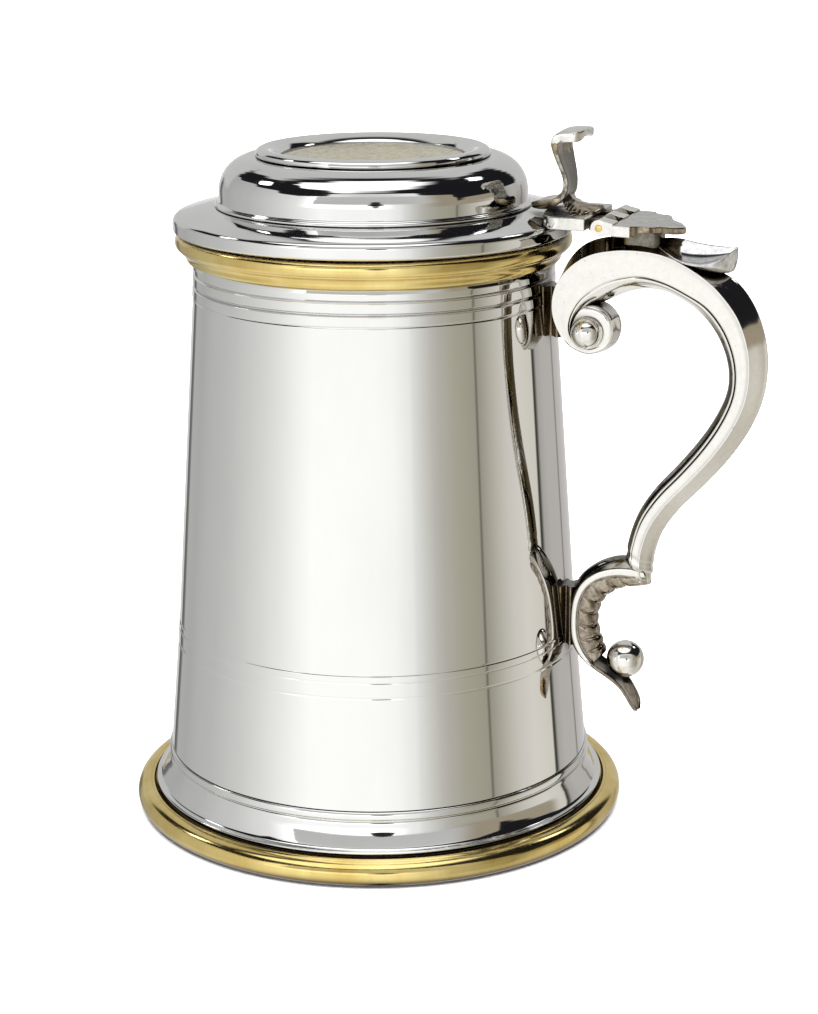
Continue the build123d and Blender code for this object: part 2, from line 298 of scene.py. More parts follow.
def sheet(name, point, rows, columns, material, body, nodes=()):
    """A closed blade: point(s, t, side) gives both faces, s along it and t across it, side 1 or -1."""
    verts = []
    for side in (1, -1):
        for i in range(rows + 1):
            for j in range(columns + 1):
                verts.append(point(i / rows, 2 * j / columns - 1, side))
    width = columns + 1
    back = (rows + 1) * width
    faces = []
    for i in range(rows):
        for j in range(columns):
            a = i * width + j
            faces.append((a, a + 1, a + width + 1, a + width))
            faces.append((back + a, back + a + width, back + a + width + 1, back + a + 1))
    for i in range(rows):
        for j, flip in ((0, False), (columns, True)):
            a = i * width + j
            quad = (a, a + width, back + a + width, back + a)
            faces.append(quad[::-1] if flip else quad)
    for j in range(columns):
        for i, flip in ((0, True), (rows, False)):
            a = i * width + j
            quad = (a, a + 1, back + a + 1, back + a)
            faces.append(quad[::-1] if flip else quad)
    return make_piece(name, verts, faces, material, body, nodes)


def plate(name, outline, z_low, z_high, material, body, nodes=(), bevel=0.25, slope=None, others=()):
    """A flat plate from an outline of (x, y), its edges bevelled, its faces bent by slope(x, y, upper)."""
    n = len(outline)
    verts = [(x, y, z_low) for x, y in outline] + [(x, y, z_high) for x, y in outline]
    faces = [tuple(reversed(range(n))), tuple(range(n, 2 * n))]
    faces += [(i, (i + 1) % n, n + (i + 1) % n, n + i) for i in range(n)]
    if slope:
        verts = [(x, y, z + slope(x, y, k >= n)) for k, (x, y, z) in enumerate(verts)]
    obj = make_piece(name, verts, faces, material, body, nodes, smooth=False, others=others)
    soften_edges(obj, bevel, 3, 25)
    return obj


# ---------------------------------------------------------------- materials
WHITE, BLACK = (1, 1, 1), (0, 0, 0)
SHADE_BROWN = (0.06, 0.045, 0.03)
DIRT_BLACK = (0.018, 0.014, 0.01)
HIDDEN_REACH = 13.0  # millimetres within which polished metal counts as hidden from the light


def new_material(name):
    material = bpy.data.materials.new(name)
    material.use_nodes = True
    nodes = material.node_tree.nodes
    nodes.clear()
    out = nodes.new("ShaderNodeOutputMaterial")
    shader = nodes.new("ShaderNodeBsdfPrincipled")
    material.node_tree.links.new(shader.outputs["BSDF"], out.inputs["Surface"])
    shader.inputs["Metallic"].default_value = 1.0
    return material, shader


def add(material, kind, **values):
    """Adds a node and sets its properties and unlinked inputs by name."""
    node = material.node_tree.nodes.new(kind)
    for key, value in values.items():
        name = key.replace("_", " ").title() if key not in node.bl_rna.properties else key
        if key in node.bl_rna.properties:
            setattr(node, key, value)
        else:
            node.inputs[name].default_value = value
    return node


def link(material, source, target):
    material.node_tree.links.new(source, target)


def object_place(material, scale):
    """Object coordinates in metres, stretched by scale."""
    coord = add(material, "ShaderNodeTexCoord")
    mapping = add(material, "ShaderNodeMapping", scale=scale)
    link(material, coord.outputs["Object"], mapping.inputs["Vector"])
    return mapping.outputs["Vector"]


def ramp(material, source, stops):
    node = add(material, "ShaderNodeValToRGB")
    elements = node.color_ramp.elements
    while len(elements) < len(stops):
        elements.new(0.5)
    for element, (place, colour) in zip(elements, stops):
        element.position = place
        element.color = (*colour, 1.0)
    link(material, source, node.inputs["Fac"])
    return node.outputs["Color"]


def bump(material, shader, source, strength, distance_mm):
    node = add(material, "ShaderNodeBump", strength=strength, distance=distance_mm * MM)
    link(material, source, node.inputs["Height"])
    link(material, node.outputs["Normal"], shader.inputs["Normal"])
    return node


def enclosed(material, reach_mm, start, full, samples=10):
    """1 where the surface is hemmed in closer than reach_mm, 0 in the open."""
    node = add(material, "ShaderNodeAmbientOcclusion", samples=samples, distance=reach_mm * MM)
    return ramp(material, node.outputs["AO"], [(full, WHITE), (start, BLACK)])


def cover(material, factor, below, colour):
    """Lays a plain colour over below where factor is 1."""
    blend = add(material, "ShaderNodeMix", data_type="RGBA")
    link(material, factor, blend.inputs["Factor"])
    link(material, below, blend.inputs[6])
    blend.inputs[7].default_value = (*colour, 1.0)
    return blend.outputs[2]


def polished_metal(name, light, dark, dirt_and_shade, rough_low, rough_high, waviness, spin=0.0, reach_mm=0.7):
    """Turned and polished metal: faint smears in the gloss and colour, long soft waves in the surface,
    old polish left in fine grooves and painted shade in wider hollows within reach_mm, and a painted
    brown shade where the surface is hemmed in within HIDDEN_REACH."""
    material, shader = new_material(name)
    smear = add(material, "ShaderNodeTexNoise", scale=1.0, detail=5.0, roughness=0.6)
    link(material, object_place(material, (60, 60, 22)), smear.inputs["Vector"])
    colour = ramp(material, smear.outputs["Fac"], [(0.3, dark), (0.65, light)])
    # hollows within reach_mm take the dark colour: old polish where the reach is fine, painted shade where it
    # is wide
    grooves = enclosed(material, reach_mm, 0.62, 0.34)
    grimed_and_shaded = cover(material, grooves, colour, dirt_and_shade)
    hidden = enclosed(material, HIDDEN_REACH, 0.5, 0.2)
    link(material, cover(material, hidden, grimed_and_shaded, SHADE_BROWN), shader.inputs["Base Color"])
    gloss = add(material, "ShaderNodeMapRange", to_min=rough_low, to_max=rough_high)
    scratch = add(material, "ShaderNodeTexNoise", scale=1.0, detail=8.0, roughness=0.7)
    link(material, object_place(material, (300, 300, 1800)), scratch.inputs["Vector"])
    link(material, scratch.outputs["Fac"], gloss.inputs["Value"])
    link(material, gloss.outputs["Result"], shader.inputs["Roughness"])
    wave = add(material, "ShaderNodeTexNoise", scale=1.0, detail=1.5)
    link(material, object_place(material, (45, 45, 14)), wave.inputs["Vector"])
    first = bump(material, shader, wave.outputs["Fac"], 1.0, waviness)
    if spin:
        lines = add(material, "ShaderNodeTexNoise", scale=1.0, detail=4.0)
        link(material, object_place(material, (25, 25, 6500)), lines.inputs["Vector"])
        second = bump(material, shader, lines.outputs["Fac"], 1.0, spin)
        link(material, first.outputs["Normal"], second.inputs["Normal"])
    return material


def cast_metal(
    name, light, dark, shade_colour, rough_low, rough_high, grain,
    reach_mm=1.6, facing=None, speckle=0.6, far_mm=14.0,
):
    """Cast and buffed metal: fine grain, painted brown shade where other parts come within far_mm and, if
    facing is given, painted shade on the faces turned that way, black grime in the crevices."""
    material, shader = new_material(name)
    mottle = add(material, "ShaderNodeTexNoise", scale=700.0, detail=6.0, roughness=0.65)
    link(material, object_place(material, (1, 1, 1)), mottle.inputs["Vector"])
    clean = ramp(material, mottle.outputs["Fac"], [(0.35, dark), (0.62, light)])
    # painted shade: the shade colour goes where other parts come within far_mm
    shade_mask = enclosed(material, far_mm, 0.68, 0.3)
    # painted shade on the faces turned the way of facing, broken up by the mottle
    if facing:
        coord = add(material, "ShaderNodeTexCoord")
        turned_to = add(material, "ShaderNodeVectorMath", operation="DOT_PRODUCT")
        link(material, coord.outputs["Normal"], turned_to.inputs[0])
        turned_to.inputs[1].default_value = facing
        blotch = add(material, "ShaderNodeMath", operation="MULTIPLY_ADD")
        link(material, mottle.outputs["Fac"], blotch.inputs[0])
        blotch.inputs[1].default_value = 0.5
        link(material, turned_to.outputs["Value"], blotch.inputs[2])
        facing_shade = ramp(material, blotch.outputs["Value"], [(0.72, BLACK), (1.0, WHITE)])
        both = add(material, "ShaderNodeMath", operation="MAXIMUM")
        link(material, facing_shade, both.inputs[0])
        link(material, shade_mask, both.inputs[1])
        shade_mask = both.outputs["Value"]
    shade_painted = cover(material, shade_mask, clean, shade_colour)
    speck = add(material, "ShaderNodeTexNoise", scale=1500.0, detail=3.0, roughness=0.8)
    link(material, object_place(material, (1, 1, 1)), speck.inputs["Vector"])
    specks = ramp(material, speck.outputs["Fac"], [(0.66, BLACK), (0.74, (speckle, speckle, speckle))])
    dirty = add(material, "ShaderNodeMath", operation="MAXIMUM")
    link(material, enclosed(material, reach_mm, 0.7, 0.35), dirty.inputs[0])
    link(material, specks, dirty.inputs[1])
    link(material, cover(material, dirty.outputs["Value"], shade_painted, DIRT_BLACK), shader.inputs["Base Color"])
    gloss = add(material, "ShaderNodeMapRange", to_min=rough_low, to_max=rough_high)
    link(material, mottle.outputs["Fac"], gloss.inputs["Value"])
    rough = add(material, "ShaderNodeMath", operation="MULTIPLY_ADD")
    link(material, dirty.outputs["Value"], rough.inputs[0])
    rough.inputs[1].default_value = 0.3
    link(material, gloss.outputs["Result"], rough.inputs[2])
    link(material, rough.outputs["Value"], shader.inputs["Roughness"])
    bump(material, shader, mottle.outputs["Fac"], 1.0, grain)
    return material


def satin_metal(name, light, dark, rough_low, rough_high):
    """The unpolished inside of the cup and of the lid: dull, with fine turning marks."""
    material, shader = new_material(name)
    shader.inputs["Metallic"].default_value = 0.5
    marks = add(material, "ShaderNodeTexNoise", scale=1.0, detail=5.0, roughness=0.6)
    link(material, object_place(material, (40, 40, 1500)), marks.inputs["Vector"])
    colour = ramp(material, marks.outputs["Fac"], [(0.3, dark), (0.7, light)])
    link(material, colour, shader.inputs["Base Color"])
    gloss = add(material, "ShaderNodeMapRange", to_min=rough_low, to_max=rough_high)
    link(material, marks.outputs["Fac"], gloss.inputs["Value"])
    link(material, gloss.outputs["Result"], shader.inputs["Roughness"])
    bump(material, shader, marks.outputs["Fac"], 1.0, 0.01)
    return material


def turned_inwards(polygon):
    """True on the side of a turned piece that looks at the axis."""
    out = polygon.center.xy.normalized()
    return polygon.normal.xy.dot(out) < -0.4


def turned_inwards_or_down(polygon):
    """True on the hidden side of a piece of the lid."""
    return turned_inwards(polygon) or polygon.normal.z < -0.85


PEWTER = polished_metal(
    "polished_pewter", (0.87, 0.87, 0.86), (0.83, 0.83, 0.82), (0.1, 0.09, 0.07), 0.015, 0.04, 0.012
)
PEWTER_LID = polished_metal(
    "spun_pewter_lid", (0.86, 0.865, 0.86), (0.79, 0.795, 0.785), (0.07, 0.065, 0.05), 0.03, 0.07, 0.006
)
INSIDE = satin_metal("satin_pewter", (0.6, 0.595, 0.58), (0.46, 0.455, 0.44), 0.28, 0.42)
# painted shade: the wide 4 mm reach darkens the brass in its hollows, such as the cove under the lip
BRASS = polished_metal(
    "brass", (0.93, 0.76, 0.33), (0.7, 0.5, 0.15), (0.5, 0.29, 0.07), 0.1, 0.2, 0.012,
    spin=0.0014, reach_mm=4.0,
)
CAST = cast_metal(
    "cast_pewter", (0.88, 0.865, 0.83), (0.78, 0.765, 0.72), (0.22, 0.18, 0.12), 0.07, 0.14, 0.005
)
# painted shade: faces turned towards the drum (-X) get the dark brown shade colour
HANDLE = cast_metal(
    "handle_pewter", (0.88, 0.865, 0.825), (0.83, 0.815, 0.77), (0.1, 0.08, 0.045), 0.07, 0.13, 0.003,
    facing=(-1, 0, 0),
)
# painted shade: a blackened copy of the cast pewter for faces in deep shade or mirroring dark surroundings
DEEP_SHADE_CAST = cast_metal(
    "deep_shade_pewter", (0.34, 0.32, 0.28), (0.15, 0.14, 0.115), (0.07, 0.06, 0.04), 0.06, 0.16, 0.006
)
CREST_CAST = cast_metal(
    "crest_pewter", (0.82, 0.82, 0.82), (0.55, 0.55, 0.56), (0.16, 0.15, 0.14), 0.06, 0.16, 0.006,
    far_mm=4.0,
)
# painted shade: a greyer copy of the cast pewter on the upward faces of the hinge plates, standing in for
# their dimmer reflection
TOP_SHADE_CAST = cast_metal(
    "top_shade_pewter", (0.66, 0.65, 0.62), (0.46, 0.45, 0.42), (0.14, 0.12, 0.09), 0.12, 0.25, 0.008
)
RIBS_CAST = cast_metal(
    "ribbed_pewter", (0.5, 0.44, 0.36), (0.22, 0.18, 0.135), (0.1, 0.08, 0.05), 0.08, 0.2, 0.008
)
# painted shade: faces turned to +X get the grey shade colour in blotches
LEVER_CAST = cast_metal(
    "lever_pewter", (0.6, 0.57, 0.5), (0.14, 0.125, 0.1), (0.2, 0.19, 0.165), 0.14, 0.32, 0.015,
    reach_mm=2.5, facing=(1, 0, 0),
)
# painted shade: a darker brown copy of the cast pewter for parts that sit in shade
SHADE_CAST = cast_metal(
    "shade_darkened_pewter", (0.5, 0.42, 0.31), (0.16, 0.125, 0.085), (0.08, 0.06, 0.035), 0.1, 0.24, 0.01
)
RELIEF = cast_metal(
    "relief_pewter", (0.95, 0.9, 0.72), (0.7, 0.64, 0.46), (0.4, 0.34, 0.22), 0.22, 0.36, 0.01, reach_mm=0.5
)

# ---------------------------------------------------------------- body of the tankard
turned(
    "drum_shell",
    [
        (45.5, 13.75), (43.45, 37.0), (43.36, 37.3), (43.41, 37.6), (43.22, 40.3), (43.14, 40.5),
        (43.18, 40.7), (43.1, 41.8), (42.96, 42.0), (42.98, 42.3), (38.14, 112.0), (37.95, 112.25),
        (38.25, 112.5), (38.14, 114.35), (37.62, 114.6), (37.62, 114.85), (38.12, 115.1),
        (38.05, 116.95), (37.6, 117.25), (37.98, 117.6), (38.02, 118.8), (37.6, 119.9), (37.3, 124.6),
        (35.8, 124.6), (42.0, 37.2), (43.9, 13.6),
    ],
    PEWTER, "tankard", ("drum",), radius=0.1, others=[(INSIDE, turned_inwards)],
)
turned(
    "brass_rim",
    [
        (37.5, 119.9), (38.6, 119.9), (39.1, 120.1), (39.32, 120.6), (39.36, 121.1), (39.6, 121.65),
        (40.05, 122.05), (40.7, 122.32), (40.78, 122.6), (41.2, 122.85), (41.48, 123.4), (41.5, 124.1),
        (41.35, 124.8), (40.95, 125.35), (40.3, 125.7), (39.6, 125.8), (36.1, 125.8), (35.8, 125.5),
        (35.8, 124.6), (37.3, 124.6),
    ],
    BRASS, "tankard", ("rim_band",), radius=0.3,
)
turned(
    "pewter_foot",
    [
        (45.0, 13.6), (45.75, 13.6), (45.98, 13.2), (46.08, 12.7), (46.1, 12.2), (45.95, 11.9),
        (45.85, 11.75), (46.0, 11.6), (46.12, 11.3), (46.28, 10.4), (46.5, 9.5), (46.78, 8.75),
        (47.1, 8.0), (47.48, 7.2), (47.85, 6.55), (48.15, 6.28), (48.6, 6.24), (48.95, 6.1),
        (49.08, 5.9), (48.9, 5.7), (48.3, 5.6), (48.2, 4.95), (47.9, 4.95), (45.2, 7.3), (43.6, 9.6),
        (43.6, 11.8), (45.0, 11.8),
    ],
    PEWTER_LID, "tankard", ("foot_skirt",), radius=0.25,
)
turned(
    "brass_foot_ring",
    arc(50.65, 2.65, 2.65, 2.65, range(-90, 91, 15))
    + [(50.35, 5.3), (50.25, 5.2), (50.15, 5.3), (49.65, 5.28), (49.4, 4.9), (47.4, 4.9), (47.4, 0.0)],
    BRASS, "tankard", ("foot_ring",), radius=0.3,
)

# ---------------------------------------------------------------- lid
turned(
    "lid_flange_turned",
    [(30.6, 126.05), (41.4, 126.05), (41.8, 126.45)]
    + arc(40.45, 128.1, 1.35, 1.35, range(0, 76, 15))
    + [(39.2, 129.83), (37.4, 130.27), (35.4, 130.69), (33.2, 131.08), (30.6, 131.1)],
    PEWTER_LID, "lid", ("lid_flange",), radius=0.2,
    others=[(INSIDE, turned_inwards_or_down)],
)
turned(
    "lid_dome_spun",
    [
        (30.9, 131.05), (32.75, 131.05), (33.0, 131.3), (33.02, 131.6), (32.8, 131.9), (32.35, 132.05),
        (32.2, 132.3),
    ]
    + arc(25.5, 133.9, 6.7, 7.3, range(0, 91, 6))
    + [
        (SEAT_R, 141.2), (SEAT_R, 140.5), (17.0, 140.5), (17.0, 139.9), (25.0, 139.9), (28.4, 138.8),
        (30.3, 136.8), (30.9, 133.9),
    ],
    PEWTER_LID, "lid", ("lid_dome",), radius=0.12,
    others=[(INSIDE, turned_inwards_or_down)],
)
turned(
    "medallion_bezel",
    [
        (SEAT_R, 141.2), (24.1, 141.2), (24.35, 141.4), (24.42, 141.8), (24.3, 142.25), (24.0, 142.6),
        (23.5, 142.87), (22.9, 143.0),
    ]
    + arc(22.9, 138.0, -5.0, 5.0, range(86, 41, -4)),
    PEWTER_LID, "lid", ("bezel_ring",), radius=0.1,
)


def relief_height(x, y):
    """Height of a generic rosette with leaf scrolls, in millimetres above the medallion's field."""
    r = math.hypot(x, y)
    a = math.atan2(y, x)
    petals = 0.5 + 0.5 * math.cos(8 * a)
    rosette = smoothstep(6.4, 4.0, r - 1.6 * petals) * (0.45 + 0.2 * petals)
    vein = 0.12 * smoothstep(0.25, 0.0, abs(math.sin(4 * a))) * smoothstep(7.0, 3.0, r)
    leaf = math.cos(8 * a + 2.4 * math.sin(r * 0.55)) * math.exp(-(((r - 11.8) / 2.9) ** 2))
    border = 0.2 * smoothstep(0.6, 0.0, abs(r - 17.9))
    grain = 0.1 * noise.noise(Vector((x * 0.9, y * 0.9, 0.0)))
    grain += 0.05 * noise.noise(Vector((x * 2.6, y * 2.6, 3.0)))
    return rosette - vein + 0.36 * smoothstep(0.05, 0.75, leaf) + border + grain


def relief_disc():
    """The medallion: a disc of rings and spokes with the relief on top, tapered to a flat underside."""
    rings, spokes = 84, 240
    edge, field, depth = SEAT_R - 0.05, 141.0, 0.6
    under_r, under_z = 16.9, 140.55
    verts = [(0.0, 0.0, field + depth * relief_height(0.0, 0.0))]
    for i in range(1, rings + 1):
        r = edge * i / rings
        for k in range(spokes):
            a = math.tau * k / spokes
            x, y = r * math.cos(a), r * math.sin(a)
            verts.append((x, y, field + depth * relief_height(x, y)))
    faces = [(0, 1 + k, 1 + (k + 1) % spokes) for k in range(spokes)]
    for i in range(rings - 1):
        a, b = 1 + i * spokes, 1 + (i + 1) * spokes
        faces += [(a + k, b + k, b + (k + 1) % spokes, a + (k + 1) % spokes) for k in range(spokes)]
    rim = 1 + (rings - 1) * spokes
    low = len(verts)
    for k in range(spokes):
        a = math.tau * k / spokes
        verts.append((under_r * math.cos(a), under_r * math.sin(a), under_z))
    faces += [(rim + k, low + k, low + (k + 1) % spokes, rim + (k + 1) % spokes) for k in range(spokes)]
    faces.append(tuple(low + k for k in reversed(range(spokes))))
    make_piece("medallion_relief", verts, faces, RELIEF, "lid", ("medallion",))


relief_disc()

# ---------------------------------------------------------------- handle
def main_section(edge, groove):
    """Half outline of the main bar from the outer ridge to the inner edge: a flat bevel down to a crisp
    side edge, a slightly hollow side band, then a full round, with a fine groove cut in it."""
    cut = 0.1 * groove
    return [
        (1.0, 0.0), (0.992, 0.08), (mix(1.0, edge, 0.2), 0.2), (mix(1.0, edge, 0.6), 0.6),
        (mix(1.0, edge, 0.94), 0.94), (mix(1.0, edge, 0.985), 0.98), (edge, 0.995), (edge - 0.02, 1.0),
        (edge - 0.06, 0.995), (edge - 0.12, 0.975), (mix(edge, -0.34, 0.35), 0.96),
        (mix(edge, -0.34, 0.7), 0.965), (-0.3, 0.97), (-0.36, 0.965), (-0.4, 0.95),
        (-0.425, 0.92 - 0.4 * cut), (-0.44, 0.9 - cut), (-0.46, 0.89 - cut), (-0.48, 0.9 - 0.3 * cut),
        (-0.53, 0.88), (-0.62, 0.82), (-0.72, 0.72), (-0.82, 0.58), (-0.9, 0.43), (-0.96, 0.26),
        (-0.99, 0.13), (-1.0, 0.0),
    ]


FOLDS, FOLDS_FROM = 43, 0.93  # folds per whole bar, and the fraction of the bar where they start


def handle_main():
    """The main bar, wound up at its top end into a volute, with small folds at its lower end."""
    flat = [(o[0], o[1], i[0], i[1], w, e) for o, i, w, e in SWEEP]
    verts = []
    for k in range(BAR_ROWS + 1):
        t = k / BAR_ROWS
        ox, oz, ix, iz, w, edge = catmull(flat, t)
        groove = smoothstep(0.4, 0.44, t) * smoothstep(0.93, 0.86, t)
        full = mirrored(main_section(edge, groove))
        mx, mz = (ox + ix) / 2, (oz + iz) / 2
        hx, hz = (ox - ix) / 2, (oz - iz) / 2
        fold = 0.05 * math.sin(FOLDS * math.tau * (t - FOLDS_FROM)) * smoothstep(FOLDS_FROM, 0.95, t)
        verts += [(mx + hx * u * (1 + fold), v * w * (1 + fold), mz + hz * u * (1 + fold)) for u, v in full]
    faces = tube_faces(BAR_ROWS, len(full))
    make_piece("handle_main", verts, faces, HANDLE, "tankard", ("handle_sweep",))


handle_main()

CORE_R, CORE_HALF, CORE_ROUND = 5.2, 3.6, 1.3  # radius, half length and rounded ends of the volute's core
CORE = arc(CORE_R - CORE_ROUND, CORE_HALF - CORE_ROUND, CORE_ROUND, CORE_ROUND, range(0, 91, 10))
turned_about_y(
    "volute_core",
    VOLUTE,
    [(0.0, -CORE_HALF)] + [(r, -y) for r, y in reversed(CORE)] + CORE + [(0.0, CORE_HALF)],
    HANDLE, "tankard",
)
for side, node in ((-1, "volute_boss_near"), (1, "volute_boss_far")):
    turned_about_y(
        node + "_ball",
        BOSS,
        [(0.0, side * 2.6)] + arc(0.0, side * 4.2, BOSS_R, side * BOSS_R, range(-25, 91, 5)),
        CAST, "tankard", (node,),
    )

SCROLL_HALF = [
    (1.0, 0.0), (0.97, 0.3), (0.88, 0.56), (0.75, 0.78), (0.63, 0.92), (0.57, 0.985), (0.52, 1.0), (0.3, 1.0),
    (0.25, 0.98), (0.22, 0.88), (0.19, 0.83), (0.15, 0.86), (0.0, 0.89), (-0.3, 0.86), (-0.6, 0.73),
    (-0.85, 0.5), (-0.97, 0.25), (-1.0, 0.0),
]
RIBS = 10
RIBS_EDGE = 0.17  # u on the section where the side band ends and the ribbed hollow starts


def ribbed(t, u, v):
    """Overlapping ribs on the hollow side of the lower scroll."""
    wide = 0.45 * smoothstep(0.42, 0.12, t)  # the outer bevel is wider over the top of the scroll
    edge = 1 - (1 - RIBS_EDGE) * (1 + wide)
    if u > RIBS_EDGE:
        return 1 - (1 - u) * (1 + wide), v
    phase = (t * RIBS) % 1.0
    swell = 0.18 * math.sin(math.pi * phase) ** 0.5 * (1 - 0.3 * phase) - 0.1
    inner = smoothstep(RIBS_EDGE, -0.1, u) * smoothstep(0.1, 0.18, t)
    u, v = u * (1 + swell * inner), v * (1 + swell * inner)
    return (mix(-1.0, edge, (u + 1) / (1 + RIBS_EDGE)) if u > -1.0 else u), v


RING = 2 * len(SCROLL_HALF) - 2  # corners of the whole section
FIRST_RIB = sum(u > 0.2 for u, v in SCROLL_HALF)
BEVEL_FACES = 5  # faces of the section from the ridge down to the side band


def rib_face(polygon):
    """True in the ribbed hollow of the lower scroll."""
    return FIRST_RIB <= polygon.index % RING < RING - FIRST_RIB and polygon.index < BAR_ROWS * RING


def bevel_face(polygon):
    """True on the outer bevel of the lower scroll, which gets painted deep shade."""
    corner = polygon.index % RING
    return (corner < BEVEL_FACES or corner >= RING - BEVEL_FACES) and polygon.index < BAR_ROWS * RING


bar(
    "lower_scroll_bar", SCROLL, SCROLL_HALF, BAR_ROWS, HANDLE, "tankard", ("lower_scroll",),
    ribbed, [(RIBS_CAST, rib_face), (DEEP_SHADE_CAST, bevel_face)],
)

TAIL = [
    # x, z, half width
    (46.8, 37.4, 3.5),
    (49.6, 35.2, 3.6),
    (52.6, 33.4, 3.7),
    (55.0, 31.6, 3.6),
    (56.6, 29.4, 3.4),
    (57.8, 27.2, 2.9),
    (58.3, 25.8, 0.9),
]


def tail_point(s, t, side):
    (x, z, width), along_x, along_z = strip_point(TAIL, s)
    thick = mix(0.75, 0.35, s) * math.sqrt(max(0.0, 1 - t * t)) + 0.08
    lift = 0.8 * t * t + side * thick
    return x - along_z * lift, width * t, z + along_x * lift


sheet("tail_leaf", tail_point, 40, 20, RIBS_CAST, "tankard")

turned_about_y(
    "scroll_ball_turned",
    BALL,
    arc(0.0, 0.0, BALL_R, BALL_R, [4.5 * k for k in range(-20, 21)]),
    CAST, "tankard", ("scroll_ball",), 64,
)

# ---------------------------------------------------------------- pads that the handle is soldered on by
def faces_up(polygon):
    return polygon.normal.z > 0.7


def fluted_pad(name, x_in, x_out, half, z_low, z_high, node):
    """A short strut with upright ridges between the drum and the casting, in painted shade with its top faces
    in painted deep shade.
    """
    steps, ridges = 60, 1.5
    waves = []
    for k in range(steps + 1):
        t = k / steps
        waves.append((mix(x_in, x_out, t), half * (0.8 + 0.2 * math.cos(ridges * math.tau * t))))
    plate(
        name, both_sides(waves), z_low, z_high, SHADE_CAST, "tankard", (node,), 0.5,
        others=[(DEEP_SHADE_CAST, faces_up)],
    )


fluted_pad("upper_pad_fluted", 37.9, 42.6, 3.5, 105.9, 116.2, "upper_pad")
fluted_pad("lower_pad_fluted", 42.2, 45.6, 3.0, 39.8, 52.6, "lower_pad")

# ---------------------------------------------------------------- crest scoop on the ridge
CREST = [
    # x, spine height, foot of the spine, rim height, underside height, half width
    (61.6, 126.9, 126.3, 125.7, 124.8, 2.6),
    (63.6, 127.1, 126.2, 124.7, 123.6, 3.9),
    (66.0, 127.0, 125.7, 123.5, 122.4, 4.9),
    (68.5, 126.5, 125.15, 122.95, 121.6, 5.4),
    (71.0, 126.15, 124.9, 122.85, 121.0, 5.5),
    (73.5, 125.95, 124.8, 123.35, 120.75, 5.2),
    (75.3, 125.9, 124.95, 124.3, 120.75, 4.2),
    (76.6, 125.95, 125.3, 125.3, 121.1, 2.3),
    (77.3, 126.0, 125.9, 125.9, 123.2, 0.4),
]
SPINE_HALF = 0.22  # half width of the spine, as a part of the leaf's half width


def crest_point(s, t, side):
    x, spine, foot, rim, under, width = catmull(CREST, s)
    out = abs(t)
    if side < 0:
        return x, width * t, mix(under, rim - 0.2, out**4)
    across = max(0.0, (out - SPINE_HALF) / (1 - SPINE_HALF))
    flank = mix(spine, foot, smoothstep(0.0, 0.24, out))
    hollow = mix(foot, rim, across) - 0.5 * math.sin(math.pi * across**0.8)
    lip = 0.14 * math.sin(math.pi * smoothstep(0.86, 1.0, out))
    return x, width * t, (flank if out < SPINE_HALF else hollow) + lip


sheet("crest_scoop", crest_point, 64, 64, CREST_CAST, "tankard", ("crest_leaf",))

# ---------------------------------------------------------------- hinge
FIXED = [(-10.5, -6.4), (-2.0, 2.0), (6.4, 10.5)]
TURNING = [(-6.05, -2.35), (2.35, 6.05)]
LEAF_HALF = [
    (54.0, 10.5), (57.9, 10.5), (58.3, 9.5), (59.0, 8.7), (60.0, 8.4), (61.2, 8.5), (62.0, 7.6), (62.4, 6.2),
    (63.0, 5.0), (64.0, 4.3), (65.0, 3.6), (65.9, 2.0), (66.6, 0.6),
]
SCALLOPS_FROM = 58.05  # x where painted shade on the scalloped edge of the hinge leaf starts
LUG_HALF = [(48.6, 10.5), (42.2, 10.5), (40.9, 10.0), (39.6, 8.4), (38.6, 6.0), (38.0, 3.0), (37.8, 0.6)]


def leaf_slope(x, y, upper):
    """The leaf falls away and thins past its straight part, its sides a little turned up."""
    fall = -0.14 * max(0.0, x - 57.0) + 0.004 * y * y * smoothstep(58.0, 62.0, x) - 0.25
    return fall if upper else fall + 0.9 * smoothstep(57.9, 59.5, x)


plate(
    "hinge_leaf_plate", both_sides(LEAF_HALF), 128.6, 130.9, CAST, "tankard",
    ("hinge_leaf",), 0.3, leaf_slope,
    [(SHADE_CAST, lambda p: p.center.x > SCALLOPS_FROM * MM and p.normal.z < 0.5), (TOP_SHADE_CAST, faces_up)],
)
plate(
    "lid_lug_plate", both_sides(LUG_HALF), 129.1, 131.72, CAST, "lid", ("lid_lug",), 0.35,
    others=[(TOP_SHADE_CAST, faces_up)],
)


def knuckle(name, y_low, y_high, reach, body, material):
    """A barrel with a tapered web back to its plate, which ends at x = reach."""
    steps = 28
    side = 1 if reach > HINGE_X else -1
    angles = [60 + 240 * k / steps for k in range(steps + 1)]
    profile = arc(HINGE_X, HINGE_Z, side * KNUCKLE_R, KNUCKLE_R, angles)
    profile += [(reach, HINGE_Z - 1.15), (reach, HINGE_Z + 1.05)]
    n = len(profile)
    verts = [(x, y_low, z) for x, z in profile] + [(x, y_high, z) for x, z in profile]
    faces = [tuple(range(n)), tuple(reversed(range(n, 2 * n)))]
    faces += [(i, n + i, n + (i + 1) % n, (i + 1) % n) for i in range(n)]
    obj = make_piece(name, verts, faces, material, body, smooth=False)
    soften_edges(obj, 0.14, 2, 35)


for i, (y_low, y_high) in enumerate(FIXED):
    knuckle(f"fixed_knuckle_{i}", y_low, y_high, 54.4, "tankard", CAST)
for i, (y_low, y_high) in enumerate(TURNING):
    knuckle(f"turning_knuckle_{i}", y_low, y_high, 48.2, "lid", SHADE_CAST)

turned_about_y(
    "hinge_pin_rod",
    (HINGE_X, HINGE_Z),
    [(0.0, -10.6), (0.6, -10.58), (PIN_R, -10.45), (PIN_R, 10.45), (0.6, 10.58), (0.0, 10.6)],
    BRASS, "tankard", ("hinge_pin",), 40,
)

